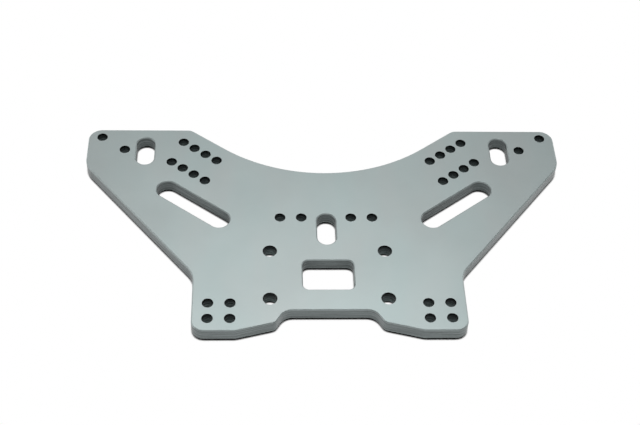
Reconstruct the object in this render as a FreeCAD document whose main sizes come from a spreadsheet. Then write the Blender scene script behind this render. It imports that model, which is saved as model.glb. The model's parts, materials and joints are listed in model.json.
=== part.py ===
"""Shock tower plate of a radio-controlled buggy, milled from one flat sheet of aluminium.

The plate lies flat: X runs across the car, Y up the tower and Z through the sheet. The origin is the
centre of the four gearbox bolts on the underside. The right half is drawn, rounded, slotted and drilled,
and then mirrored. The whole plate takes the two cuts that lie on the centre line, and last the chamfer
round every milled edge.
"""

import FreeCAD, Part
import math
import os
import Sketcher

NODE = "shock_tower_plate"

# name, millimetres (degrees for an angle), what it measures
SIZES = (
    ("plate_thickness", 4.0, "sheet"),
    ("edge_chamfer", 0.3, "45 degree chamfer on both faces, round every milled edge"),
    # outline
    ("tip_half_width", 72.65, "centre line to the side of an arm"),
    ("tip_height", 57.95, "gearbox bolt centre to the straight top of an arm"),
    ("tip_side_length", 15.35, "side of an arm, corner to corner"),
    ("arm_top_length", 31.5, "straight top of an arm, shoulder corner to tip corner"),
    ("slant_angle", 36.87, "slope of an arm's inner edge, its shock holes and its long slot"),
    ("saddle_radius", 51.0, "large hollow that joins the inner edges of the two arms"),
    ("foot_half_width", 38.6, "centre line to the outer side of a foot"),
    ("foot_depth", 19.75, "gearbox bolt centre down to the underside of a foot"),
    ("foot_side_length", 20.1, "outer side of a foot, corner to corner"),
    ("foot_flat_length", 12.4, "straight underside of a foot, corner to corner"),
    ("heel_length", 11.0, "sloping underside of a foot, measured across the car"),
    ("heel_angle", 14.5, "slope of that underside"),
    ("notch_angle", 59.0, "slope of the sides of the notch between the feet"),
    ("notch_depth", 12.65, "gearbox bolt centre down to the top of the notch"),
    # corner radii of the outline
    ("shoulder_round", 3.0, "top inner corner of an arm"),
    ("tip_round", 4.0, "top outer corner of an arm"),
    ("flank_round", 8.0, "where an arm's side turns into its lower edge"),
    ("waist_round", 7.0, "hollow where an arm's lower edge meets the foot"),
    ("foot_round", 3.5, "lower outer corner of a foot"),
    ("heel_round", 2.0, "where a foot's underside turns up into the notch"),
    ("notch_round", 4.0, "hollow top corner of the notch"),
    # slots and window
    ("short_slot_width", 5.55, "the arm slots and the centre slot"),
    ("arm_slot_pitch", 5.6, "end centre to end centre of an arm's short slot"),
    ("arm_slot_inset", 17.8, "arm's side to the middle of its short slot"),
    ("arm_slot_drop", 9.15, "arm's top to the middle of its short slot"),
    ("centre_slot_pitch", 6.1, "end centre to end centre of the centre slot"),
    ("centre_slot_height", 17.15, "gearbox bolt centre to the middle of the centre slot"),
    ("long_slot_width", 6.4, "the slanted slots"),
    ("long_slot_pitch", 19.6, "end centre to end centre of a slanted slot"),
    ("long_slot_gap", 9.55, "lower row of shock holes to the middle line of the slanted slot"),
    ("long_slot_back", 19.95, "shoulder corner back to the middle of the slanted slot, along the slant"),
    ("window_width", 14.7, "window between the gearbox bolts, across the car"),
    ("window_height", 10.5, "window between the gearbox bolts, up the tower"),
    ("window_round", 1.8, "corners of the window"),
    # drilled holes
    ("gearbox_hole", 4.2, "clearance for an M4 screw"),
    ("gearbox_spacing_x", 33.4, "gearbox bolts, across the car"),
    ("gearbox_spacing_y", 17.3, "gearbox bolts, up the tower"),
    ("screw_hole", 3.2, "clearance for an M3 screw, all the other holes"),
    ("link_height", 21.55, "gearbox bolt centre up to the row of camber link holes"),
    ("link_inner_spacing", 14.7, "between the two inner camber link holes"),
    ("link_outer_spacing", 27.3, "between the two outer camber link holes"),
    ("foot_hole_inset", 4.45, "foot's side to its outer holes"),
    ("foot_hole_rise", 4.25, "foot's underside to its lower holes"),
    ("foot_spacing_x", 6.25, "foot holes, across the car"),
    ("foot_spacing_y", 5.35, "foot holes, up the tower"),
    ("tip_hole_inset", 4.2, "arm's side to the outer tip hole"),
    ("tip_hole_drop", 3.35, "arm's top to the outer tip hole"),
    ("tip_spacing_x", 7.25, "tip holes, across the car"),
    ("tip_spacing_y", 5.25, "tip holes, up the tower"),
    ("shock_count", 4, "shock holes in a row"),
    ("shock_pitch", 4.31, "neighbouring shock holes in a row"),
    ("shock_inset", 5.6, "arm's slanted inner edge to the upper row of shock holes"),
    ("shock_row_gap", 8.7, "upper row to lower row of shock holes"),
    ("shock_back", 1.6, "shoulder corner back to the outermost hole of the upper row, along the slant"),
    ("shock_shift", 2.35, "upper row's outermost hole back to the lower row's, along the slant"),
)
SIZE = {name: value for name, value, _ in SIZES}

# points of an edge, as the sketcher numbers them
START, END, CENTRE = range(1, 4)
ORIGIN = (-1, START)
Y_AXIS = -2
# direction of the lowest point of an arc, in degrees
DOWN = -90


def fill_sheet(doc):
    """The driving dimensions: a name, its number under that alias, and what it measures."""
    sheet = doc.addObject("Spreadsheet::Sheet", "Sizes")
    for row, (name, value, note) in enumerate(SIZES, start=1):
        sheet.set(f"A{row}", name)
        sheet.set(f"B{row}", str(value))
        sheet.set(f"C{row}", note)
        sheet.setAlias(f"B{row}", name)
    doc.recompute()


# ---------------------------------------------------------------- sketch helpers


def new_sketch(body, name):
    """A sketch on the underside of the sheet, the body's XY plane."""
    sketch = body.newObject("Sketcher::SketchObject", name)
    floor = next(item for item in body.Origin.OriginFeatures if item.Role == "XY_Plane")
    sketch.AttachmentSupport = (floor, [""])
    sketch.MapMode = "FlatFace"
    return sketch


def new_slanted_sketch(body, name):
    """The same, with its origin at the shoulder corner and its X axis along the slanted edge."""
    sketch = new_sketch(body, name)
    turn = FreeCAD.Rotation(FreeCAD.Vector(0, 0, 1), SIZE["slant_angle"])
    sketch.AttachmentOffset = FreeCAD.Placement(FreeCAD.Vector(), turn)
    sketch.setExpression("AttachmentOffset.Base.x", "(Sizes.tip_half_width - Sizes.arm_top_length) * 1 mm")
    sketch.setExpression("AttachmentOffset.Base.y", "Sizes.tip_height * 1 mm")
    sketch.setExpression("AttachmentOffset.Rotation.Angle", "Sizes.slant_angle * 1 deg")
    return sketch


def relate(sketch, kind, *ends):
    """A constraint without a size, such as Tangent or Vertical."""
    sketch.addConstraint(Sketcher.Constraint(kind, *ends))


def measure(sketch, kind, *ends, size):
    """A dimension that takes its value from a formula of the sheet."""
    index = sketch.addConstraint(Sketcher.Constraint(kind, *ends, 1.0))
    sketch.setExpression(f"Constraints[{index}]", size)


def place(sketch, point, x, y):
    """Dimension a point from the sketch's origin."""
    measure(sketch, "DistanceX", *ORIGIN, *point, size=x)
    measure(sketch, "DistanceY", *ORIGIN, *point, size=y)


def segment(start, end):
    return Part.LineSegment(FreeCAD.Vector(*start, 0), FreeCAD.Vector(*end, 0))


def arc(centre, radius, first_angle, last_angle):
    circle = Part.Circle(FreeCAD.Vector(*centre, 0), FreeCAD.Vector(0, 0, 1), radius)
    return Part.ArcOfCircle(circle, math.radians(first_angle), math.radians(last_angle))


# ---------------------------------------------------------------- outline


def outline_corners():
    """The corners of the right half before they are rounded, clockwise from the end of the hollow."""
    slant = math.radians(SIZE["slant_angle"])
    shoulder_x = SIZE["tip_half_width"] - SIZE["arm_top_length"]
    hollow_x = SIZE["saddle_radius"] * math.sin(slant)
    hollow_y = SIZE["tip_height"] - (shoulder_x - hollow_x) * math.tan(slant)
    foot_bottom = -SIZE["foot_depth"]
    flat_end_x = SIZE["foot_half_width"] - SIZE["foot_flat_length"]
    heel_x = flat_end_x - SIZE["heel_length"]
    heel_y = foot_bottom + SIZE["heel_length"] * math.tan(math.radians(SIZE["heel_angle"]))
    notch_run = (-SIZE["notch_depth"] - heel_y) / math.tan(math.radians(SIZE["notch_angle"]))
    return {
        "hollow_end": (hollow_x, hollow_y),
        "shoulder": (shoulder_x, SIZE["tip_height"]),
        "tip": (SIZE["tip_half_width"], SIZE["tip_height"]),
        "flank": (SIZE["tip_half_width"], SIZE["tip_height"] - SIZE["tip_side_length"]),
        "waist": (SIZE["foot_half_width"], foot_bottom + SIZE["foot_side_length"]),
        "foot": (SIZE["foot_half_width"], foot_bottom),
        "flat_end": (flat_end_x, foot_bottom),
        "heel": (heel_x, heel_y),
        "notch": (heel_x - notch_run, -SIZE["notch_depth"]),
        "notch_middle": (0.0, -SIZE["notch_depth"]),
    }


def draw_outline(body):
    """Right half of the outline, corners still sharp, closed along the centre line."""
    sketch = new_sketch(body, "Outline")
    corners = outline_corners()
    points = list(corners.values())
    radius = SIZE["saddle_radius"]
    slant = SIZE["slant_angle"]
    hollow_y = corners["hollow_end"][1] + radius * math.cos(math.radians(slant))
    saddle_bottom = (0.0, hollow_y - radius)
    hollow = sketch.addGeometry(arc((0.0, hollow_y), radius, DOWN, DOWN + slant))
    edges = [
        sketch.addGeometry(segment(start, end))
        for start, end in zip(points, points[1:] + [saddle_bottom])
    ]
    inner, top, side, lower, foot_side, foot_flat, heel, notch_side, notch_top, middle = edges

    relate(sketch, "Tangent", hollow, END, inner, START)
    for before, after in zip(edges, edges[1:]):
        relate(sketch, "Coincident", before, END, after, START)
    relate(sketch, "Coincident", middle, END, hollow, START)
    relate(sketch, "PointOnObject", hollow, CENTRE, Y_AXIS)
    relate(sketch, "PointOnObject", hollow, START, Y_AXIS)
    relate(sketch, "PointOnObject", notch_top, END, Y_AXIS)
    for edge in (top, foot_flat, notch_top):
        relate(sketch, "Horizontal", edge)
    for edge in (side, foot_side):
        relate(sketch, "Vertical", edge)

    measure(sketch, "Radius", hollow, size="Sizes.saddle_radius")
    measure(sketch, "Angle", inner, size="Sizes.slant_angle * 1 deg")
    place(sketch, (top, END), "Sizes.tip_half_width", "Sizes.tip_height")
    measure(sketch, "DistanceX", top, START, top, END, size="Sizes.arm_top_length")
    measure(sketch, "DistanceY", side, END, side, START, size="Sizes.tip_side_length")
    measure(sketch, "DistanceX", *ORIGIN, foot_side, END, size="Sizes.foot_half_width")
    measure(sketch, "DistanceY", foot_side, END, *ORIGIN, size="Sizes.foot_depth")
    measure(sketch, "DistanceY", foot_side, END, foot_side, START, size="Sizes.foot_side_length")
    measure(sketch, "DistanceX", foot_flat, END, foot_flat, START, size="Sizes.foot_flat_length")
    measure(sketch, "DistanceX", heel, END, heel, START, size="Sizes.heel_length")
    measure(sketch, "Angle", heel, size="(180 - Sizes.heel_angle) * 1 deg")
    measure(sketch, "Angle", notch_side, size="(180 - Sizes.notch_angle) * 1 deg")
    measure(sketch, "DistanceY", notch_top, END, *ORIGIN, size="Sizes.notch_depth")
    return sketch, corners


def pad_half(body):
    """The right half of the sheet. Returns its sharp corners."""
    sketch, corners = draw_outline(body)
    pad = body.newObject("PartDesign::Pad", "HalfPlate")
    pad.Profile = sketch
    pad.setExpression("Length", "Sizes.plate_thickness")
    sketch.Visibility = False
    body.Document.recompute()
    return corners


def edge_through(shape, corner):
    """Name of the edge that stands through the sheet at a corner of the outline."""
    middle = FreeCAD.Vector(*corner, SIZE["plate_thickness"] / 2)
    distances = [edge.distToShape(Part.Vertex(middle))[0] for edge in shape.Edges]
    return f"Edge{distances.index(min(distances)) + 1}"


def round_corners(body, name, corners):
    """Round the edges that stand at these corners with the radius NAME_round."""
    base = body.Tip
    fillet = body.newObject("PartDesign::Fillet", f"{name.capitalize()}Round")
    fillet.Base = (base, [edge_through(base.Shape, corner) for corner in corners])
    fillet.setExpression("Radius", f"Sizes.{name}_round")
    body.Document.recompute()


# ---------------------------------------------------------------- slots and window


def cut_through(body, sketch, name):
    """Cut a sketch's profile through the whole sheet."""
    before = body.Shape.Volume
    pocket = body.newObject("PartDesign::Pocket", name)
    pocket.Profile = sketch
    pocket.Type = "ThroughAll"
    pocket.Reversed = True
    finish_cut(body, sketch, name, before)


def finish_cut(body, sketch, name, before):
    """Hide the used sketch, and make sure that its cut took metal away."""
    sketch.Visibility = False
    body.Document.recompute()
    if not body.Shape.Volume < before:
        raise RuntimeError(f"{name} cut nothing")


def draw_slot(sketch, width, pitch, middle, upright):
    """Two half circles joined by tangent lines, centred on middle, which is a pair of formulas."""
    radius = SIZE[width] / 2
    run = (0, SIZE[pitch]) if upright else (SIZE[pitch], 0)
    side = (radius, 0) if upright else (0, -radius)
    turn = 90 if upright else 0
    first = sketch.addGeometry(arc((0, 0), radius, turn + 90, turn + 270))
    right = sketch.addGeometry(segment(side, (run[0] + side[0], run[1] + side[1])))
    last = sketch.addGeometry(arc(run, radius, turn - 90, turn + 90))
    left = sketch.addGeometry(segment((run[0] - side[0], run[1] - side[1]), (-side[0], -side[1])))
    loop = (first, right, last, left)
    for before, after in zip(loop, loop[1:] + loop[:1]):
        relate(sketch, "Tangent", before, END, after, START)
    relate(sketch, "Equal", first, last)
    relate(sketch, "Vertical" if upright else "Horizontal", right)
    measure(sketch, "Radius", first, size=f"Sizes.{width} / 2")
    along = "DistanceY" if upright else "DistanceX"
    measure(sketch, along, first, CENTRE, last, CENTRE, size=f"Sizes.{pitch}")
    x, y = middle
    half = f"Sizes.{pitch} / 2"
    start = (x, f"{y} - {half}") if upright else (f"{x} - {half}", y)
    place(sketch, (first, CENTRE), *start)


def cut_short_slot(body, name, pitch, x, y):
    """A short upright slot, given by its pitch and its middle."""
    sketch = new_sketch(body, f"{name}Profile")
    draw_slot(sketch, "short_slot_width", pitch, (x, y), upright=True)
    cut_through(body, sketch, name)


def cut_long_slot(body):
    """The long slot, parallel to the rows of shock holes."""
    sketch = new_slanted_sketch(body, "LongSlotProfile")
    middle = ("-Sizes.long_slot_back", "-(Sizes.shock_inset + Sizes.shock_row_gap + Sizes.long_slot_gap)")
    draw_slot(sketch, "long_slot_width", "long_slot_pitch", middle, upright=False)
    cut_through(body, sketch, "LongSlot")


def cut_window(body):
    """The window between the gearbox bolts, centred on them."""
    sketch = new_sketch(body, "WindowProfile")
    right = SIZE["window_width"] / 2
    top = SIZE["window_height"] / 2
    corners = [(right, top), (right, -top), (-right, -top), (-right, top)]
    loop = [
        sketch.addGeometry(segment(start, end))
        for start, end in zip(corners, corners[1:] + corners[:1])
    ]
    for before, after in zip(loop, loop[1:] + loop[:1]):
        relate(sketch, "Coincident", before, END, after, START)
    right_side, bottom, left_side, top_side = loop
    relate(sketch, "Vertical", right_side)
    relate(sketch, "Horizontal", bottom)
    relate(sketch, "Vertical", left_side)
    relate(sketch, "Horizontal", top_side)
    relate(sketch, "Symmetric", right_side, START, left_side, START, *ORIGIN)
    measure(sketch, "DistanceX", top_side, START, top_side, END, size="Sizes.window_width")
    measure(sketch, "DistanceY", right_side, END, right_side, START, size="Sizes.window_height")
    cut_through(body, sketch, "Window")
    round_corners(body, "window", corners)


# ---------------------------------------------------------------- drilled holes


def drill(body, sketch, name, diameter, centres):
    """Drill through the sheet at each centre, given as a pair of formulas."""
    before = body.Shape.Volume
    start = Part.Circle(FreeCAD.Vector(), FreeCAD.Vector(0, 0, 1), SIZE[diameter] / 2)
    for centre in centres:
        circle = sketch.addGeometry(start)
        measure(sketch, "Diameter", circle, size=f"Sizes.{diameter}")
        place(sketch, (circle, CENTRE), *centre)
    body.Document.recompute()
    hole = body.newObject("PartDesign::Hole", name)
    hole.Profile = sketch
    hole.DepthType = "ThroughAll"
    hole.Reversed = True
    hole.setExpression("Diameter", f"Sizes.{diameter}")
    finish_cut(body, sketch, name, before)
    return hole


def drill_gearbox_holes(body):
    x = "Sizes.gearbox_spacing_x / 2"
    y = "Sizes.gearbox_spacing_y / 2"
    drill(body, new_sketch(body, "GearboxSpots"), "GearboxHoles", "gearbox_hole", [(x, y), (x, f"-{y}")])


def drill_link_holes(body):
    inner = ("Sizes.link_inner_spacing / 2", "Sizes.link_height")
    outer = ("Sizes.link_outer_spacing / 2", "Sizes.link_height")
    drill(body, new_sketch(body, "LinkSpots"), "LinkHoles", "screw_hole", [inner, outer])


def drill_foot_holes(body):
    outer = "Sizes.foot_half_width - Sizes.foot_hole_inset"
    lower = "Sizes.foot_hole_rise - Sizes.foot_depth"
    inner = f"{outer} - Sizes.foot_spacing_x"
    upper = f"{lower} + Sizes.foot_spacing_y"
    centres = [(x, y) for x in (outer, inner) for y in (lower, upper)]
    drill(body, new_sketch(body, "FootSpots"), "FootHoles", "screw_hole", centres)


def drill_tip_holes(body):
    x = "Sizes.tip_half_width - Sizes.tip_hole_inset"
    y = "Sizes.tip_height - Sizes.tip_hole_drop"
    inner = (f"{x} - Sizes.tip_spacing_x", f"{y} - Sizes.tip_spacing_y")
    drill(body, new_sketch(body, "TipSpots"), "TipHoles", "screw_hole", [(x, y), inner])


def drill_shock_holes(body):
    """Two staggered rows of shock holes along the slanted edge, each from its outermost hole inwards."""
    sketch = new_slanted_sketch(body, "ShockSpots")
    upper = ("-Sizes.shock_back", "-Sizes.shock_inset")
    lower = ("-(Sizes.shock_back + Sizes.shock_shift)", "-(Sizes.shock_inset + Sizes.shock_row_gap)")
    outermost = drill(body, sketch, "OutermostShockHoles", "screw_hole", [upper, lower])
    rows = body.newObject("PartDesign::LinearPattern", "ShockRows")
    rows.Originals = [outermost]
    rows.Direction = (sketch, ["H_Axis"])
    rows.Reversed = True
    rows.Mode = "Spacing"
    rows.setExpression("Offset", "Sizes.shock_pitch")
    rows.setExpression("Occurrences", "Sizes.shock_count")
    body.Tip = rows
    body.Document.recompute()


# ---------------------------------------------------------------- whole plate


def mirror_half(body):
    """The left half, from the right one."""
    mirror = body.newObject("PartDesign::Mirrored", "BothHalves")
    middle = next(item for item in body.Origin.OriginFeatures if item.Role == "YZ_Plane")
    mirror.TransformMode = "Whole shape"
    mirror.MirrorPlane = (middle, [""])
    body.Tip = mirror
    body.Document.recompute()


def chamfer_edges(body):
    """Chamfer every edge of the two faces but the rims of the drilled holes, which are closed circles."""
    base = body.Tip
    rims = [
        f"Edge{number}"
        for number, edge in enumerate(base.Shape.Edges, start=1)
        if edge.BoundBox.ZLength < Part.Precision.confusion() and not edge.isClosed()
    ]
    chamfer = body.newObject("PartDesign::Chamfer", "EdgeChamfer")
    chamfer.Base = (base, rims)
    chamfer.setExpression("Size", "Sizes.edge_chamfer")
    body.Document.recompute()


def build_plate(doc):
    body = doc.addObject("PartDesign::Body", "ShockTowerPlate")
    body.Label = NODE
    body.Placement = FreeCAD.Placement()
    corners = pad_half(body)
    for name in ("shoulder", "tip", "flank", "waist", "foot", "heel", "notch"):
        round_corners(body, name, [corners[name]])
    arm_slot_x = "Sizes.tip_half_width - Sizes.arm_slot_inset"
    arm_slot_y = "Sizes.tip_height - Sizes.arm_slot_drop"
    cut_short_slot(body, "ArmSlot", "arm_slot_pitch", arm_slot_x, arm_slot_y)
    cut_long_slot(body)
    drill_tip_holes(body)
    drill_shock_holes(body)
    drill_link_holes(body)
    drill_gearbox_holes(body)
    drill_foot_holes(body)
    mirror_half(body)
    cut_short_slot(body, "CentreSlot", "centre_slot_pitch", "0", "Sizes.centre_slot_height")
    cut_window(body)
    chamfer_edges(body)
    return body


def check(doc, body):
    """Stop before anything is written if a feature failed or the plate isn't one sound solid."""
    failed = [item.Name for item in doc.Objects if {"Invalid", "Error"} & set(item.State)]
    if failed:
        raise RuntimeError(f"failed: {failed}")
    shape = body.Shape
    if shape.isNull() or not shape.isValid() or len(shape.Solids) != 1:
        raise RuntimeError(f"{body.Label} isn't one valid solid")


def main():
    doc = FreeCAD.newDocument("ShockTower")
    fill_sheet(doc)
    body = build_plate(doc)
    check(doc, body)
    os.makedirs("parts", exist_ok=True)
    body.Shape.exportStep(f"parts/{body.Label}.step")
    print(f"{body.Label}: {body.Shape.Volume / 1000:.2f} cm3, {len(body.Shape.Faces)} faces")


main()
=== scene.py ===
import json
import math

import bpy
import numpy as np
from bpy.props import FloatProperty, FloatVectorProperty, PointerProperty
from bpy.types import Operator, Panel, PropertyGroup
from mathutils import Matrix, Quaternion, Vector
from mathutils.geometry import delaunay_2d_cdt


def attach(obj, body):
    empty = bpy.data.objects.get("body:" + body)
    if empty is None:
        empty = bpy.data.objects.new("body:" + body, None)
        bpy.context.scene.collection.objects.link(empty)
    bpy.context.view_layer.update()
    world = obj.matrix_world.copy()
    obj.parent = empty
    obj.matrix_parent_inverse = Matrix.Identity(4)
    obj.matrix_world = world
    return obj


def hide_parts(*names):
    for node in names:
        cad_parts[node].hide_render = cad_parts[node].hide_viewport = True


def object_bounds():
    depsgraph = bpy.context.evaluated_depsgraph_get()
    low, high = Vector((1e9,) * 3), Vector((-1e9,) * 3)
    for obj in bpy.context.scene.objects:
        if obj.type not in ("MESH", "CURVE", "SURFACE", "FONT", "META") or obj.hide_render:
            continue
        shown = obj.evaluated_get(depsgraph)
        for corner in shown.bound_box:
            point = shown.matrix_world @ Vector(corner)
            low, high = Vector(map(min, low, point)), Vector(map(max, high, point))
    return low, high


bl_info = {
    "name": "Shock Tower Plate",
    "version": (1, 0, 0),
    "blender": (4, 5, 0),
    "location": "View3D > Sidebar > Tower Plate",
    "description": "Builds a milled and hard anodised shock tower plate, and the plain studio it lies in",
    "category": "Add Mesh",
}

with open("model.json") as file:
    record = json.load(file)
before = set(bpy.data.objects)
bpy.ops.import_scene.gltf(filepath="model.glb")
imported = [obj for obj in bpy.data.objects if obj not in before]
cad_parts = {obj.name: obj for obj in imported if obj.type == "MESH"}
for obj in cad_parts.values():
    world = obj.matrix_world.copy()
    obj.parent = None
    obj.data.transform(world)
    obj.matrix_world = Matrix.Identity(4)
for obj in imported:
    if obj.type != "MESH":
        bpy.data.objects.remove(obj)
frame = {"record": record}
CAD_LOW, CAD_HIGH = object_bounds()

NODE = "shock_tower_plate"
MM = 0.001

# finest arc: no step turns further than this, and none bows further from the true arc
ARC_STEP = math.radians(4.0)
ARC_BOW = 0.004 * MM
# two points nearer than this are one
SAME_POINT = 1e-7

# how deep the painted shade at the mouth of a drilled hole goes
PAINTED_MOUTH_SHADE_DEPTH = 0.4 * MM
# the floor's top below the underside of the part, and the small disc that its rings start from
FLOOR_DROP = 0.02 * MM
FLOOR_EYE = 5 * MM
FLOOR_SIDES = 96
CURVE_STEPS = 12
# how open the floor is, from 0 to 1, where its painted shadow turns quite dark and quite clear: the painted
# contact shadow at the part's foot as the camera sees it, and the painted shade under the openings as the
# part reflects it
CONTACT_DARK, CONTACT_CLEAR, CONTACT_SAMPLES = 0.42, 0.70, 16
OPENING_DARK, OPENING_CLEAR, OPENING_SAMPLES = 0.15, 1.0, 4

# each lamp, the setting of its power, its azimuth from the far side towards +X and its elevation, in degrees
LAMPS = (
    ("back_lamp", "back_power", 0.0, 70.0),
    ("left_lamp", "left_power", -90.0, 18.0),
    ("front_lamp", "front_power", 180.0, 40.0),
)
LAMP_AIM = Vector((0.0, 15 * MM, 0.0))
VIEW_AIM = Vector((-1.73 * MM, 23.52 * MM, CAD_HIGH.z))

# the plate's material slots, in the order of the mesh's material indices
FACE, CHAMFER, WALL, BORE = range(4)


# ---------------------------------------------------------------- settings in the sidebar


def length(name, value, description):
    """A length in metres."""
    return FloatProperty(
        name=name, description=description, default=value, min=0.0, unit="LENGTH", precision=5
    )


def angle(name, degrees, description):
    """An angle, kept in radians and shown in degrees."""
    return FloatProperty(name=name, description=description, default=math.radians(degrees), subtype="ANGLE")


def share(name, value, description):
    """A share from 0 to 1."""
    return FloatProperty(
        name=name, description=description, default=value, min=0.0, max=1.0, subtype="FACTOR"
    )


def power(name, value, description):
    """A lamp's power in watts."""
    return FloatProperty(name=name, description=description, default=value, min=0.0, unit="POWER")


def colour(name, value, description):
    """A colour in scene-linear red, green and blue."""
    return FloatVectorProperty(
        name=name, description=description, default=value, size=3, min=0.0, max=1.0, subtype="COLOR"
    )


class TowerOutlineSizes(PropertyGroup):
    """Outline of the plate. Lengths are between sharp corners; the rounds come after."""

    thickness: length("Thickness", CAD_HIGH.z - CAD_LOW.z, "Sheet")
    chamfer: length("Chamfer", 0.3 * MM, "Chamfer round every milled edge, on both faces")
    softness: length("Softness", 0.03 * MM, "How far the chamfer's own edges are dulled")
    tip_half_width: length("Half width", CAD_HIGH.x, "Centre line to the side of an arm")
    tip_height: length("Tip height", CAD_HIGH.y, "Gearbox bolt centre to the straight top of an arm")
    tip_side: length("Arm side", 15.35 * MM, "Side of an arm")
    arm_top: length("Arm top", 31.5 * MM, "Straight top of an arm")
    slant: angle("Slant", 36.87, "Slope of an arm's inner edge, its shock holes and its long slot")
    saddle_radius: length("Saddle radius", 51.0 * MM, "Large hollow between the arms")
    foot_half_width: length("Foot half width", 38.6 * MM, "Centre line to the outer side of a foot")
    foot_depth: length("Foot depth", -CAD_LOW.y, "Gearbox bolt centre down to the underside of a foot")
    foot_side: length("Foot side", 20.1 * MM, "Outer side of a foot")
    foot_flat: length("Foot flat", 12.4 * MM, "Straight underside of a foot")
    heel_length: length("Heel length", 11.0 * MM, "Sloping underside of a foot, measured across the car")
    heel_slope: angle("Heel slope", 14.5, "Slope of that underside")
    notch_slope: angle("Notch slope", 59.0, "Slope of the sides of the notch between the feet")
    notch_depth: length("Notch depth", 12.65 * MM, "Gearbox bolt centre down to the top of the notch")
    shoulder_round: length("Shoulder round", 3.0 * MM, "Top inner corner of an arm")
    tip_round: length("Tip round", 4.0 * MM, "Top outer corner of an arm")
    flank_round: length("Flank round", 8.0 * MM, "Where an arm's side turns into its lower edge")
    waist_round: length("Waist round", 7.0 * MM, "Hollow where an arm's lower edge meets the foot")
    foot_round: length("Foot round", 3.5 * MM, "Lower outer corner of a foot")
    heel_round: length("Heel round", 2.0 * MM, "Where a foot's underside turns up into the notch")
    notch_round: length("Notch round", 4.0 * MM, "Hollow top corner of the notch")


class TowerCutSizes(PropertyGroup):
    """Slots, window and the directions of the hole pairs."""

    short_slot_width: length("Short slot width", 5.55 * MM, "Arm slots and centre slot")
    arm_slot_pitch: length("Arm slot pitch", 5.6 * MM, "End centre to end centre of an arm slot")
    centre_slot_pitch: length("Centre slot pitch", 6.1 * MM, "End centre to end centre of the centre slot")
    arm_slot_inset: length("Arm slot inset", 17.8 * MM, "Arm's side to the middle of its short slot")
    arm_slot_drop: length("Arm slot drop", 9.15 * MM, "Arm's top to the middle of its short slot")
    centre_slot_height: length("Centre slot height", 17.15 * MM, "Gearbox bolt centre to the centre slot")
    long_slot_width: length("Long slot width", 6.4 * MM, "Slanted slots")
    long_slot_pitch: length("Long slot pitch", 19.6 * MM, "End centre to end centre of a slanted slot")
    long_slot_back: length("Long slot back", 19.95 * MM, "Shoulder corner back to its middle, on the slant")
    long_slot_inset: length("Long slot inset", 23.85 * MM, "Arm's slanted edge to the slot's middle line")
    window_width: length("Window width", 14.7 * MM, "Window between the gearbox bolts, across the car")
    window_height: length("Window height", 10.5 * MM, "Window between the gearbox bolts, up the tower")
    window_round: length("Window round", 1.8 * MM, "Corners of the window")
    tip_pair: angle("Tip pair", 35.9, "Slope of the line through the two tip holes")


class TowerFinish(PropertyGroup):
    """Satin hard anodising, duller where a cutter or a drill left the metal. The milled walls are darker
    partly by their own tone and partly by painted shade, and the drilled holes by painted shade.
    """

    face_colour: colour("Face", (0.445, 0.515, 0.512), "Flat faces of the sheet")
    chamfer_colour: colour("Chamfer", (0.50, 0.573, 0.568), "Chamfered edges")
    # the milled wall's own darker tone, and painted shade for upright walls that the light reaches less
    wall_tone_and_painted_shade: colour("Wall", (0.215, 0.25, 0.25), "Milled side walls, slots and window")
    # painted shade: the drilled holes' colour is made dark for the shade that falls inside them
    painted_bore_shade: colour("Bore", (0.050, 0.062, 0.062), "Drilled holes")
    face_metal: share("Face metal", 0.40, "How much metal shows through the coating of the faces and walls")
    chamfer_metal: share("Chamfer metal", 0.40, "How much metal shows through the coating of the chamfers")
    face_roughness: share("Face roughness", 0.45, "Faces")
    chamfer_roughness: share("Chamfer roughness", 0.37, "Chamfers")
    wall_roughness: share("Wall roughness", 0.28, "Walls and drilled holes")
    mark_height: length("Pass mark height", 0.16 * MM, "Faint groove where two passes of the cutter meet")
    mark_depth: length("Pass mark depth", 0.02 * MM, "Depth of that groove")


class TowerStage(PropertyGroup):
    """Floor, lamps and camera."""

    floor_colour: colour("Floor", (0.55, 0.55, 0.55), "What the floor throws back onto the part")
    floor_reach: length("Floor reach", 2.5, "Centre of the floor to where it starts to curve up")
    backdrop_curve: length("Backdrop curve", 0.3, "Radius of the curve between floor and backdrop")
    backdrop_height: length("Backdrop height", 0.6, "Top of the backdrop above the floor")
    contact: length("Contact shadow", 1.0 * MM, "How far the dark line round the part's foot reaches")
    contact_lean: angle("Contact lean", 50.0, "How far that line falls to the near side")
    # painted shade: how far round the floor's reflected look is dimmed by the walls near it
    opening_reach: length("Opening reach", 15 * MM, "How far round the floor looks for walls that dim it")
    fill: FloatProperty(name="Fill", description="Strength of the light all round", default=0.15, min=0.0)
    lamp_distance: length("Lamp distance", 0.6, "Every lamp to the middle of the part")
    lamp_size: length("Lamp size", 0.3, "Side of each square lamp")
    back_power: power("Back lamp", 1.72, "High on the far side")
    left_power: power("Left lamp", 0.18, "Low on the left")
    front_power: power("Front lamp", 0.15, "Behind the camera")
    view_azimuth: angle("View azimuth", -4.0, "Camera's turn round the part, from its front towards +X")
    view_elevation: angle("View elevation", 48.6, "Camera's height above the horizon")
    view_roll: angle("View roll", 3.07, "Camera's turn about its own line of sight")
    view_distance: length("View distance", 385.3 * MM, "Camera to the point it looks at")
    lens: FloatProperty(name="Lens", description="Focal length in millimetres", default=72.89, min=1.0)


# ---------------------------------------------------------------- loops: closed lines in plan


def heading_of(vectors):
    """Direction of each plan vector, as an angle."""
    return np.arctan2(vectors[:, 1], vectors[:, 0])


def right_of(headings):
    """Unit vector to the right of each heading: out of the metal, because every loop keeps it on its left."""
    return np.stack([np.sin(headings), -np.cos(headings)], axis=-1)


def arc_steps(radius, sweep):
    """How many chords an arc needs to keep within ARC_STEP and ARC_BOW."""
    finest = 2 * math.acos(max(0.0, 1 - ARC_BOW / radius))
    return max(1, math.ceil(abs(sweep) / min(ARC_STEP, finest)))


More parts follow.
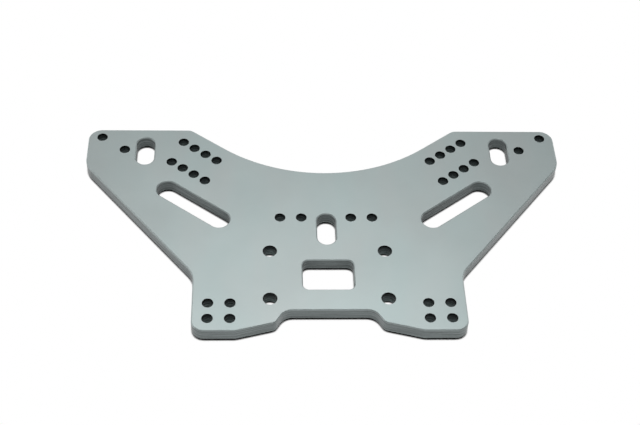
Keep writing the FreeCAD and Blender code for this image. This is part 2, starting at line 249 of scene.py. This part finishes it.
def rounded_loop(corners, radii):
    """A polygon with its corners rounded, as points and the headings before and after each of them.

    At a corner the heading turns by t from the incoming side to the outgoing one. The arc starts
    radius * tan(|t| / 2) before the corner, and each of its points lies one radius to the right of the arc's
    centre when it turns left, or to the left of it when it turns right. Radius 0 keeps the corner sharp.
    """
    corners = np.asarray(corners, float)
    sides = np.roll(corners, -1, axis=0) - corners
    leaving = heading_of(sides)
    arriving = np.roll(leaving, 1)
    turns = (leaving - arriving + np.pi) % (2 * np.pi) - np.pi
    rows = []
    for corner, radius, first, turn in zip(corners, radii, arriving, turns):
        if radius == 0:
            rows.append(np.array([[*corner, first, first + turn]]))
            continue
        side = math.copysign(radius, turn)
        back = radius * math.tan(abs(turn) / 2)
        start = corner - back * np.array([math.cos(first), math.sin(first)])
        centre = start - side * right_of(np.array(first))
        headings = first + turn * np.linspace(0, 1, arc_steps(radius, turn) + 1)
        points = centre + side * right_of(headings)
        rows.append(np.column_stack([points, headings, headings]))
    table = np.concatenate(rows)
    gaps = np.linalg.norm(table[:, :2] - np.roll(table[:, :2], 1, axis=0), axis=1)
    table = table[gaps > SAME_POINT]
    return table[:, :2], table[:, 2], table[:, 3]


def circle_loop(centre, radius):
    """A clockwise circle: the angle falls evenly through one turn."""
    steps = arc_steps(radius, 2 * math.pi)
    around = -2 * math.pi * np.arange(steps) / steps
    points = np.asarray(centre) + radius * np.column_stack([np.cos(around), np.sin(around)])
    headings = around - math.pi / 2
    return points, headings, headings


def mirrored(corners):
    """The same corners across the centre line, in the order that keeps the metal on the left."""
    return np.asarray(corners)[::-1] * (-1, 1)


def outline_loop(s):
    """The outline, anticlockwise from the notch. The saddle is the round of the corner where the inner
    edges of the two arms would meet on the centre line."""
    shoulder_x = s.tip_half_width - s.arm_top
    foot_bottom = -s.foot_depth
    flat_end_x = s.foot_half_width - s.foot_flat
    heel_x = flat_end_x - s.heel_length
    heel_y = foot_bottom + s.heel_length * math.tan(s.heel_slope)
    notch_x = heel_x - (-s.notch_depth - heel_y) / math.tan(s.notch_slope)
    right_half = [
        (notch_x, -s.notch_depth, s.notch_round),
        (heel_x, heel_y, s.heel_round),
        (flat_end_x, foot_bottom, 0.0),
        (s.foot_half_width, foot_bottom, s.foot_round),
        (s.foot_half_width, foot_bottom + s.foot_side, s.waist_round),
        (s.tip_half_width, s.tip_height - s.tip_side, s.flank_round),
        (s.tip_half_width, s.tip_height, s.tip_round),
        (shoulder_x, s.tip_height, s.shoulder_round),
    ]
    saddle = (0.0, s.tip_height - shoulder_x * math.tan(s.slant), s.saddle_radius)
    right = np.array(right_half)
    left = right[::-1] * (-1, 1, 1)
    table = np.vstack([right, saddle, left])
    return rounded_loop(table[:, :2], table[:, 2])


def box_corners(width, height):
    """Corners of a rectangle about the origin, clockwise."""
    return np.array([(1, 1), (1, -1), (-1, -1), (-1, 1)]) * (width / 2, height / 2)


def turned(corners, turn):
    """Corners turned about the origin."""
    c, s = math.cos(turn), math.sin(turn)
    return corners @ np.array([(c, s), (-s, c)])


def cut_loops(s, cuts):
    """Window, centre slot, and the short and long slot of each arm, all clockwise."""
    width = cuts.short_slot_width
    arm_slot = box_corners(width, cuts.arm_slot_pitch + width)
    arm_slot = arm_slot + (s.tip_half_width - cuts.arm_slot_inset, s.tip_height - cuts.arm_slot_drop)
    centre_slot = box_corners(width, cuts.centre_slot_pitch + width) + (0.0, cuts.centre_slot_height)
    long = box_corners(cuts.long_slot_pitch + cuts.long_slot_width, cuts.long_slot_width)
    long = turned(long - (cuts.long_slot_back, cuts.long_slot_inset), s.slant)
    long = long + (s.tip_half_width - s.arm_top, s.tip_height)
    window = box_corners(cuts.window_width, cuts.window_height)
    shapes = [(window, cuts.window_round), (centre_slot, width / 2)]
    for corners, radius in ((arm_slot, width / 2), (long, cuts.long_slot_width / 2)):
        shapes += [(corners, radius), (mirrored(corners), radius)]
    return [rounded_loop(corners, [radius] * len(corners)) for corners, radius in shapes]


def pattern_centres(mount, slope):
    """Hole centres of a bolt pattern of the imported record: the corners of its rectangle, the ends of its
    line, or, for a pair on a circle, its two ends along the slope."""
    dims = mount["dims"]
    if "pcd_mm" in dims:
        half = np.array([(math.cos(slope), math.sin(slope))]) * dims["pcd_mm"] / 2
    else:
        x, y = dims["spacing_x_mm"] / 2, dims.get("spacing_y_mm", 0.0) / 2
        half = np.array([(x, y), (x, -y)] if y else [(x, y)])
    return np.array(mount["pos_m"][:2]) + np.vstack([half, -half]) * MM


def hole_loops(s, cuts):
    """Every drilled hole of the record's bolt patterns. The pairs in the left arm lean the other way."""
    loops = []
    for mount in frame["record"]["mounts"]:
        if mount["kind"] != "bolt_pattern":
            continue
        slope = cuts.tip_pair if mount["name"].startswith("tip") else s.slant
        slope = math.copysign(slope, mount["pos_m"][0])
        radius = mount["dims"]["hole_r_mm"] * MM
        loops += [circle_loop(centre, radius) for centre in pattern_centres(mount, slope)]
    return loops


# ---------------------------------------------------------------- mesh of the plate


def pass_mark(height, mark_height, mark_depth):
    """Section of the shallow groove round a given height: in at a slope, along its bottom and out again."""
    slope = math.atan2(2 * mark_depth, mark_height)
    quarter = mark_height / 4
    return [
        (0.0, height - 2 * quarter, 0.0, WALL),
        (mark_depth / 2, height - quarter, slope, WALL),
        (mark_depth, height, 0.0, WALL),
        (mark_depth / 2, height + quarter, -slope, WALL),
        (0.0, height + 2 * quarter, 0.0, WALL),
    ]


def milled_profile(s, finish):
    """Section of a milled edge from the underside up, as (inset, height, tilt, slot of the strip above).

    The wall stands upright between two 45 degree chamfers, with the marks of three passes of the cutter, and
    each corner of the section is cut off by the softness, with the tilt of the surface turning across the cut
    so that it shades as a small round.
    """
    slope = math.radians(45)
    soft = s.softness
    run = soft * math.cos(slope)
    low = [
        (s.chamfer + soft, 0.0, -2 * slope, CHAMFER),
        (s.chamfer - run, run, -slope, CHAMFER),
        (run, s.chamfer - run, -slope, CHAMFER),
        (0.0, s.chamfer + soft, 0.0, WALL),
    ]
    marks = []
    for part in (1 / 3, 2 / 3):
        marks += pass_mark(s.thickness * part, finish.mark_height, finish.mark_depth)
    high = [(inset, s.thickness - height, -tilt, CHAMFER) for inset, height, tilt, _ in reversed(low)]
    return low + marks + high


def drilled_profile(s):
    """A drilled hole has no chamfer: a straight wall from face to face."""
    return [(0.0, 0.0, 0.0, BORE), (0.0, s.thickness, 0.0, BORE)]


def swept_edge(loop, profile):
    """Carries a profile along a loop. Returns points, quads, normals at the quads' corners, and slots.

    A ring of the surface is the loop moved into the metal by the profile's inset, along the mitre vector
    (a + b) / (1 + a.b) of the outward normals a and b before and after each point, and lifted to the
    profile's height. The normal there is cos(tilt) * outward + sin(tilt) * up.
    """
    points, before, after = loop
    count = len(points)
    inset, height, tilt = np.array([row[:3] for row in profile]).T
    normal_in, normal_out = right_of(before), right_of(after)
    mitre = (normal_in + normal_out) / (1 + np.sum(normal_in * normal_out, axis=1))[:, None]
    plan = points - inset[:, None, None] * mitre
    rings = np.concatenate([plan, np.broadcast_to(height[:, None, None], (len(height), count, 1))], axis=2)

    here = np.arange(count)
    there = np.roll(here, -1)
    base = np.arange(len(profile) - 1)[:, None] * count
    quads = np.stack([base + here, base + there, base + count + there, base + count + here], axis=-1)

    def normals(ring_tilt, outward):
        flat = np.cos(ring_tilt)[:, None, None] * outward
        up = np.broadcast_to(np.sin(ring_tilt)[:, None, None], (len(ring_tilt), count, 1))
        return np.concatenate([flat, up], axis=2)

    start, end = normal_out, normal_in[there]
    corners = [(tilt[:-1], start), (tilt[:-1], end), (tilt[1:], end), (tilt[1:], start)]
    corner_normals = np.stack([normals(*corner) for corner in corners], axis=2)
    slots = np.repeat([row[3] for row in profile[:-1]], count)
    return rings.reshape(-1, 3), quads.reshape(-1, 4), corner_normals.reshape(-1, 3), slots


def filled_face(rims):
    """Triangles between the outline's rim and the rims of the cuts and holes, as indices into the rims'
    points in order. A triangle with its three corners on one hole lies in that hole and is dropped."""
    owner = np.repeat(np.arange(len(rims)), [len(rim) for rim in rims])
    starts = np.cumsum([0] + [len(rim) for rim in rims[:-1]])
    here = np.arange(len(owner))
    there = np.concatenate([start + np.roll(np.arange(len(rim)), -1) for start, rim in zip(starts, rims)])
    points = np.concatenate(rims)
    inside_constraints = 1
    made = delaunay_2d_cdt(
        [Vector(point) for point in points / MM],
        np.column_stack([here, there]).tolist(),
        [],
        inside_constraints,
        1e-6,
    )
    source = np.array([ids[0] for ids in made[3]])
    triangles = source[np.array(made[2])]
    owners = owner[triangles]
    in_hole = (owners[:, 0] > 0) & (owners == owners[:, :1]).all(axis=1)
    return triangles[~in_hole]


def plate_mesh(s, cuts, finish):
    """The whole plate: a swept edge round the outline, the cuts and the holes, closed by the two faces."""
    milled, drilled = milled_profile(s, finish), drilled_profile(s)
    edges = [(loop, milled) for loop in [outline_loop(s), *cut_loops(s, cuts)]]
    edges += [(loop, drilled) for loop in hole_loops(s, cuts)]
    swept = [swept_edge(loop, profile) for loop, profile in edges]

    starts = np.cumsum([0] + [len(part[0]) for part in swept])
    counts = [len(loop[0]) for loop, _ in edges]
    points = np.concatenate([part[0] for part in swept])
    quads = np.concatenate([part[1] + start for part, start in zip(swept, starts)])

    bottom = np.concatenate([start + np.arange(count) for start, count in zip(starts, counts)])
    top = np.concatenate([stop - count + np.arange(count) for stop, count in zip(starts[1:], counts)])
    rims = np.split(points[top, :2], np.cumsum(counts)[:-1])
    fill = filled_face(rims)

    mesh = bpy.data.meshes.new(NODE)
    triangles = np.concatenate([top[fill], bottom[fill][:, ::-1]])
    loops = np.concatenate([quads.ravel(), triangles.ravel()])
    sizes = np.repeat([4, 3], [len(quads), len(triangles)])
    mesh.vertices.add(len(points))
    mesh.vertices.foreach_set("co", points.ravel())
    mesh.loops.add(len(loops))
    mesh.loops.foreach_set("vertex_index", loops)
    mesh.polygons.add(len(sizes))
    mesh.polygons.foreach_set("loop_start", np.concatenate([[0], np.cumsum(sizes)[:-1]]))
    slots = np.concatenate([part[3] for part in swept] + [np.full(len(triangles), FACE)])
    mesh.polygons.foreach_set("material_index", slots)
    mesh.update(calc_edges=True)
    up = np.repeat([(0.0, 0.0, 1.0), (0.0, 0.0, -1.0)], len(fill) * 3, axis=0)
    mesh.normals_split_custom_set(np.concatenate([part[2] for part in swept] + [up]))
    if mesh.validate():
        raise RuntimeError("the plate's mesh had faults")
    return mesh


# ---------------------------------------------------------------- materials


def node(tree, kind, **inputs):
    """A shader node with the named inputs set to a value, or joined to the socket given."""
    made = tree.nodes.new(kind)
    for name, value in inputs.items():
        socket = made.inputs[name.replace("_", " ")]
        if isinstance(value, bpy.types.NodeSocket):
            tree.links.new(value, socket)
        else:
            socket.default_value = value
    return made


def places(tree, scale):
    """The piece's own coordinates, as patterns per millimetre along X, Y and Z."""
    own = node(tree, "ShaderNodeTexCoord").outputs["Object"]
    mapping = node(tree, "ShaderNodeMapping", Vector=own, Scale=[each / MM for each in scale])
    return mapping.outputs["Vector"]


def noise(tree, scale, detail=2.0, roughness=0.5):
    """Noise from 0 to 1 with these many features per millimetre along X, Y and Z."""
    own = places(tree, scale)
    made = node(tree, "ShaderNodeTexNoise", Vector=own, Scale=1.0, Detail=detail, Roughness=roughness)
    return made.outputs["Fac"]


def ranged(tree, value, low, high, start=0.3, stop=0.7):
    """A pattern's start to stop, spread over low to high."""
    made = node(tree, "ShaderNodeMapRange", Value=value)
    made.inputs["From Min"].default_value = start
    made.inputs["From Max"].default_value = stop
    made.inputs["To Min"].default_value = low
    made.inputs["To Max"].default_value = high
    return made.outputs["Result"]


def blended(tree, value, low, high, start=0.3, stop=0.7):
    """One colour at the pattern's start, running to another at its stop."""
    made = node(tree, "ShaderNodeValToRGB", Fac=value)
    for stop_of, place, tint in zip(made.color_ramp.elements, (start, stop), (low, high)):
        stop_of.position = place
        stop_of.color = (*tint, 1.0)
    return made.outputs["Color"]


def shaded(tree, tint, factor):
    """A colour, or a colour socket, made lighter or darker by a factor."""
    made = tree.nodes.new("ShaderNodeVectorMath")
    made.operation = "SCALE"
    if isinstance(tint, bpy.types.NodeSocket):
        tree.links.new(tint, made.inputs["Vector"])
    else:
        made.inputs["Vector"].default_value = tint
    tree.links.new(factor, made.inputs["Scale"])
    return made.outputs["Vector"]


def product(tree, first, second):
    """Two patterns multiplied."""
    made = tree.nodes.new("ShaderNodeMath")
    made.operation = "MULTIPLY"
    tree.links.new(first, made.inputs[0])
    tree.links.new(second, made.inputs[1])
    return made.outputs["Value"]


def new_finish(name):
    """An empty Principled material. Returns it, its tree and its shader."""
    material = bpy.data.materials.new(name)
    material.use_nodes = True
    tree = material.node_tree
    return material, tree, tree.nodes["Principled BSDF"]


def join(tree, shader, colour_socket, roughness_socket, height, depth):
    """Plugs a finish into its shader, with the height as a bump of that depth."""
    bump = node(tree, "ShaderNodeBump", Height=height, Distance=depth, Strength=1.0)
    tree.links.new(colour_socket, shader.inputs["Base Color"])
    tree.links.new(roughness_socket, shader.inputs["Roughness"])
    tree.links.new(bump.outputs["Normal"], shader.inputs["Normal"])


def face_finish(f):
    """Blasted and anodised sheet: a fine even grain over slow clouds, greener or greyer, in the coating."""
    material, tree, shader = new_finish("anodised_face")
    clouds = noise(tree, (0.05, 0.05, 0.05), detail=3.0)
    hue = noise(tree, (0.08, 0.03, 0.08), detail=2.0)
    grain = noise(tree, (7.0, 7.0, 7.0), detail=3.0, roughness=0.6)
    tone = product(tree, ranged(tree, clouds, 0.965, 1.035), ranged(tree, grain, 0.97, 1.03))
    tint = blended(tree, hue, [channel * by for channel, by in zip(f.face_colour, (1.02, 0.99, 0.99))],
                   [channel * by for channel, by in zip(f.face_colour, (0.98, 1.01, 1.01))])
    roughness = ranged(tree, grain, f.face_roughness - 0.05, f.face_roughness + 0.05)
    shader.inputs["Metallic"].default_value = f.face_metal
    join(tree, shader, shaded(tree, tint, tone), roughness, grain, 0.004 * MM)
    return material


def chamfer_finish(f):
    """Chamfer: a brighter cut, with the lines of the cutter along it."""
    material, tree, shader = new_finish("anodised_chamfer")
    lines = noise(tree, (0.2, 0.2, 14.0), detail=2.0)
    tone = ranged(tree, lines, 0.94, 1.06)
    roughness = ranged(tree, lines, f.chamfer_roughness - 0.06, f.chamfer_roughness + 0.06)
    shader.inputs["Metallic"].default_value = f.chamfer_metal
    join(tree, shader, shaded(tree, f.chamfer_colour, tone), roughness, lines, 0.002 * MM)
    return material


def wall_finish(f):
    """Milled wall: fine cutter lines along the edge, in broader bands from pass to pass."""
    material, tree, shader = new_finish("anodised_wall")
    bands = noise(tree, (0.06, 0.06, 1.3), detail=1.0)
    lines = noise(tree, (0.10, 0.10, 4.0), detail=3.0, roughness=0.6)
    tone = product(tree, ranged(tree, bands, 0.76, 1.24), ranged(tree, lines, 0.82, 1.18))
    roughness = ranged(tree, lines, f.wall_roughness - 0.08, f.wall_roughness + 0.08)
    shader.inputs["Metallic"].default_value = f.face_metal
    # the wall's colour carries painted shade on top of its own darker tone
    join(tree, shader, shaded(tree, f.wall_tone_and_painted_shade, tone), roughness, lines, 0.005 * MM)
    return material


def bore_finish_with_painted_shade(f):
    """Drilled hole: painted shade, darkest at its upper mouth, growing paler with depth as painted floor
    light, with the drill's rings.
    """
    material, tree, shader = new_finish("anodised_bore")
    own = node(tree, "ShaderNodeTexCoord").outputs["Object"]
    height = node(tree, "ShaderNodeSeparateXYZ", Vector=own).outputs["Z"]
    rings = noise(tree, (0.4, 0.4, 4.0), detail=2.0)
    # painted shade at the upper mouth, running to painted reflected floor light lower down
    depth = ranged(tree, height, 0.0, 7.5, start=CAD_HIGH.z - PAINTED_MOUTH_SHADE_DEPTH, stop=CAD_LOW.z)
    tone = product(tree, ranged(tree, rings, 0.55, 1.45), depth)
    roughness = ranged(tree, rings, f.wall_roughness - 0.10, f.wall_roughness + 0.06)
    shader.inputs["Metallic"].default_value = f.face_metal
    shader.inputs["Specular IOR Level"].default_value = 0.2
    join(tree, shader, shaded(tree, f.painted_bore_shade, tone), roughness, rings, 0.006 * MM)
    return material


# ---------------------------------------------------------------- stage


def direct_look(tree):
    """1 for rays that show the background itself: from the camera, in a reflection, or through glass."""
    path = tree.nodes.new("ShaderNodeLightPath")
    rays = path.outputs["Is Camera Ray"]
    for name in ("Is Glossy Ray", "Is Transmission Ray"):
        most = tree.nodes.new("ShaderNodeMath")
        most.operation = "MAXIMUM"
        tree.links.new(rays, most.inputs[0])
        tree.links.new(path.outputs[name], most.inputs[1])
        rays = most.outputs["Value"]
    return rays


def openness(tree, reach, lean, dark, clear, samples):
    """How open a point of the floor is, 0 at dark and 1 at clear. It looks for walls within reach, mostly
    on the side that it leans to: the far side when lean is positive, or the near side."""
    leaning = tree.nodes.new("ShaderNodeCombineXYZ")
    leaning.inputs["Y"].default_value = math.sin(lean)
    leaning.inputs["Z"].default_value = math.cos(lean)
    found = node(tree, "ShaderNodeAmbientOcclusion", Distance=reach, Normal=leaning.outputs["Vector"])
    found.samples = samples
    return ranged(tree, found.outputs["AO"], 0.0, 1.0, start=dark, stop=clear)


def mixed(tree, factor, first, second):
    """The first surface where the factor is 0 and the second where it is 1."""
    made = node(tree, "ShaderNodeMixShader", Fac=factor)
    tree.links.new(first, made.inputs[1])
    tree.links.new(second, made.inputs[2])
    return made.outputs["Shader"]


def floor_material(st):
    """White to look at, with a painted contact shadow where the part touches it, and painted shade under the
    part's openings when the part reflects it. It lights the part as a plain pale floor."""
    material = bpy.data.materials.new("plain_floor")
    material.use_nodes = True
    tree = material.node_tree
    tree.nodes.clear()
    at_foot = (CONTACT_DARK, CONTACT_CLEAR, CONTACT_SAMPLES)
    contact = openness(tree, st.contact, st.contact_lean, *at_foot)
    under = (OPENING_DARK, OPENING_CLEAR, OPENING_SAMPLES)
    opening = openness(tree, st.opening_reach, -st.contact_lean, *under)
    seen = node(tree, "ShaderNodeEmission", Strength=contact).outputs["Emission"]
    reflected = node(tree, "ShaderNodeEmission", Strength=opening).outputs["Emission"]
    plain = node(tree, "ShaderNodeBsdfDiffuse", Color=(*st.floor_colour, 1.0)).outputs["BSDF"]
    camera = tree.nodes.new("ShaderNodeLightPath").outputs["Is Camera Ray"]
    look = mixed(tree, camera, reflected, seen)
    node(tree, "ShaderNodeOutputMaterial", Surface=mixed(tree, direct_look(tree), plain, look))
    return material


def add_floor(st):
    """A round floor that curves up into a low backdrop: a profile of radius and height turned about Z."""
    arc = np.linspace(0.0, math.pi / 2, CURVE_STEPS + 1)
    radius = np.concatenate([[FLOOR_EYE], st.floor_reach + st.backdrop_curve * np.sin(arc)])
    height = np.concatenate([[0.0], st.backdrop_curve * (1 - np.cos(arc))])
    radius = np.append(radius, radius[-1])
    height = np.append(height, st.backdrop_height) - FLOOR_DROP
    around = np.linspace(0.0, 2 * math.pi, FLOOR_SIDES, endpoint=False)
    rings = np.stack(
        [
            radius[:, None] * np.cos(around),
            radius[:, None] * np.sin(around),
            np.broadcast_to(height[:, None], (len(height), len(around))),
        ],
        axis=-1,
    )
    count = len(around)
    here = np.arange(count)
    there = np.roll(here, -1)
    base = np.arange(len(radius) - 1)[:, None] * count
    quads = np.stack([base + here, base + count + here, base + count + there, base + there], axis=-1)
    mesh = bpy.data.meshes.new("floor")
    mesh.from_pydata(rings.reshape(-1, 3).tolist(), [], [*quads.reshape(-1, 4).tolist(), here.tolist()])
    mesh.shade_smooth()
    mesh.materials.append(floor_material(st))
    floor = bpy.data.objects.new("floor", mesh)
    bpy.context.collection.objects.link(floor)


def light_world(st):
    """Weak even light from all round."""
    world = bpy.data.worlds.new("studio")
    world.use_nodes = True
    background = world.node_tree.nodes["Background"]
    background.inputs["Color"].default_value = (1.0, 1.0, 1.0, 1.0)
    background.inputs["Strength"].default_value = st.fill
    bpy.context.scene.world = world


def add_lamp(name, watts, azimuth, elevation, st):
    """A square soft lamp that faces the part. Azimuth turns from the far side towards +X."""
    flat = math.cos(math.radians(elevation))
    turn = math.radians(azimuth)
    away = Vector((math.sin(turn) * flat, math.cos(turn) * flat, math.sin(math.radians(elevation))))
    data = bpy.data.lights.new(name, "AREA")
    data.energy = watts
    data.size = st.lamp_size
    lamp = bpy.data.objects.new(name, data)
    lamp.location = away * st.lamp_distance + LAMP_AIM
    lamp.rotation_mode = "QUATERNION"
    lamp.rotation_quaternion = (-away).to_track_quat("-Z", "Y")
    bpy.context.collection.objects.link(lamp)


def add_camera(st):
    """A camera on a sphere round the aimed point, by azimuth, elevation and roll."""
    flat = math.cos(st.view_elevation)
    back = Vector(
        (math.sin(st.view_azimuth) * flat, -math.cos(st.view_azimuth) * flat, math.sin(st.view_elevation))
    )
    data = bpy.data.cameras.new("camera")
    data.lens = st.lens
    camera = bpy.data.objects.new("camera", data)
    camera.location = VIEW_AIM + back * st.view_distance
    camera.rotation_mode = "QUATERNION"
    level = (-back).to_track_quat("-Z", "Y")
    camera.rotation_quaternion = level @ Quaternion((0, 0, 1), st.view_roll)
    bpy.context.collection.objects.link(camera)
    bpy.context.scene.camera = camera


# ---------------------------------------------------------------- operators and panel


class TOWER_OT_add_plate(Operator):
    """Build the plate with its finish, in place of the CAD node"""

    bl_idname = "tower.add_plate"
    bl_label = "Add Plate"

    def execute(self, context):
        scene = context.scene
        finish = scene.tower_finish
        mesh = plate_mesh(scene.tower_outline, scene.tower_cuts, finish)
        for make in (face_finish, chamfer_finish, wall_finish, bore_finish_with_painted_shade):
            mesh.materials.append(make(finish))
        plate = bpy.data.objects.new("tower_plate", mesh)
        context.collection.objects.link(plate)
        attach(plate, "root")
        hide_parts(NODE)
        return {"FINISHED"}


class TOWER_OT_add_stage(Operator):
    """Add the floor, the lamps and the camera"""

    bl_idname = "tower.add_stage"
    bl_label = "Add Stage"

    def execute(self, context):
        scene = context.scene
        stage = scene.tower_stage
        add_floor(stage)
        light_world(stage)
        for name, setting, azimuth, elevation in LAMPS:
            add_lamp(name, getattr(stage, setting), azimuth, elevation, stage)
        add_camera(stage)
        scene.view_settings.view_transform = "Standard"
        return {"FINISHED"}


class TOWER_PT_sidebar(Panel):
    """Sizes, finish and stage of the tower plate"""

    bl_label = "Tower Plate"
    bl_idname = "TOWER_PT_sidebar"
    bl_space_type = "VIEW_3D"
    bl_region_type = "UI"
    bl_category = "Tower Plate"

    def draw(self, context):
        scene = context.scene
        for title, group, operator in (
            ("Outline", scene.tower_outline, None),
            ("Slots and window", scene.tower_cuts, None),
            ("Finish", scene.tower_finish, TOWER_OT_add_plate),
            ("Stage", scene.tower_stage, TOWER_OT_add_stage),
        ):
            box = self.layout.box()
            box.label(text=title)
            for name in group.__annotations__:
                box.prop(group, name)
            if operator:
                box.operator(operator.bl_idname)


GROUPS = {
    "tower_outline": TowerOutlineSizes,
    "tower_cuts": TowerCutSizes,
    "tower_finish": TowerFinish,
    "tower_stage": TowerStage,
}
CLASSES = (*GROUPS.values(), TOWER_OT_add_plate, TOWER_OT_add_stage, TOWER_PT_sidebar)


def register():
    for each in CLASSES:
        bpy.utils.register_class(each)
    for name, group in GROUPS.items():
        setattr(bpy.types.Scene, name, PointerProperty(type=group))


def unregister():
    for name in GROUPS:
        delattr(bpy.types.Scene, name)
    for each in reversed(CLASSES):
        bpy.utils.unregister_class(each)


def main():
    register()
    bpy.ops.tower.add_plate()
    bpy.ops.tower.add_stage()


if __name__ == "__main__":
    main()
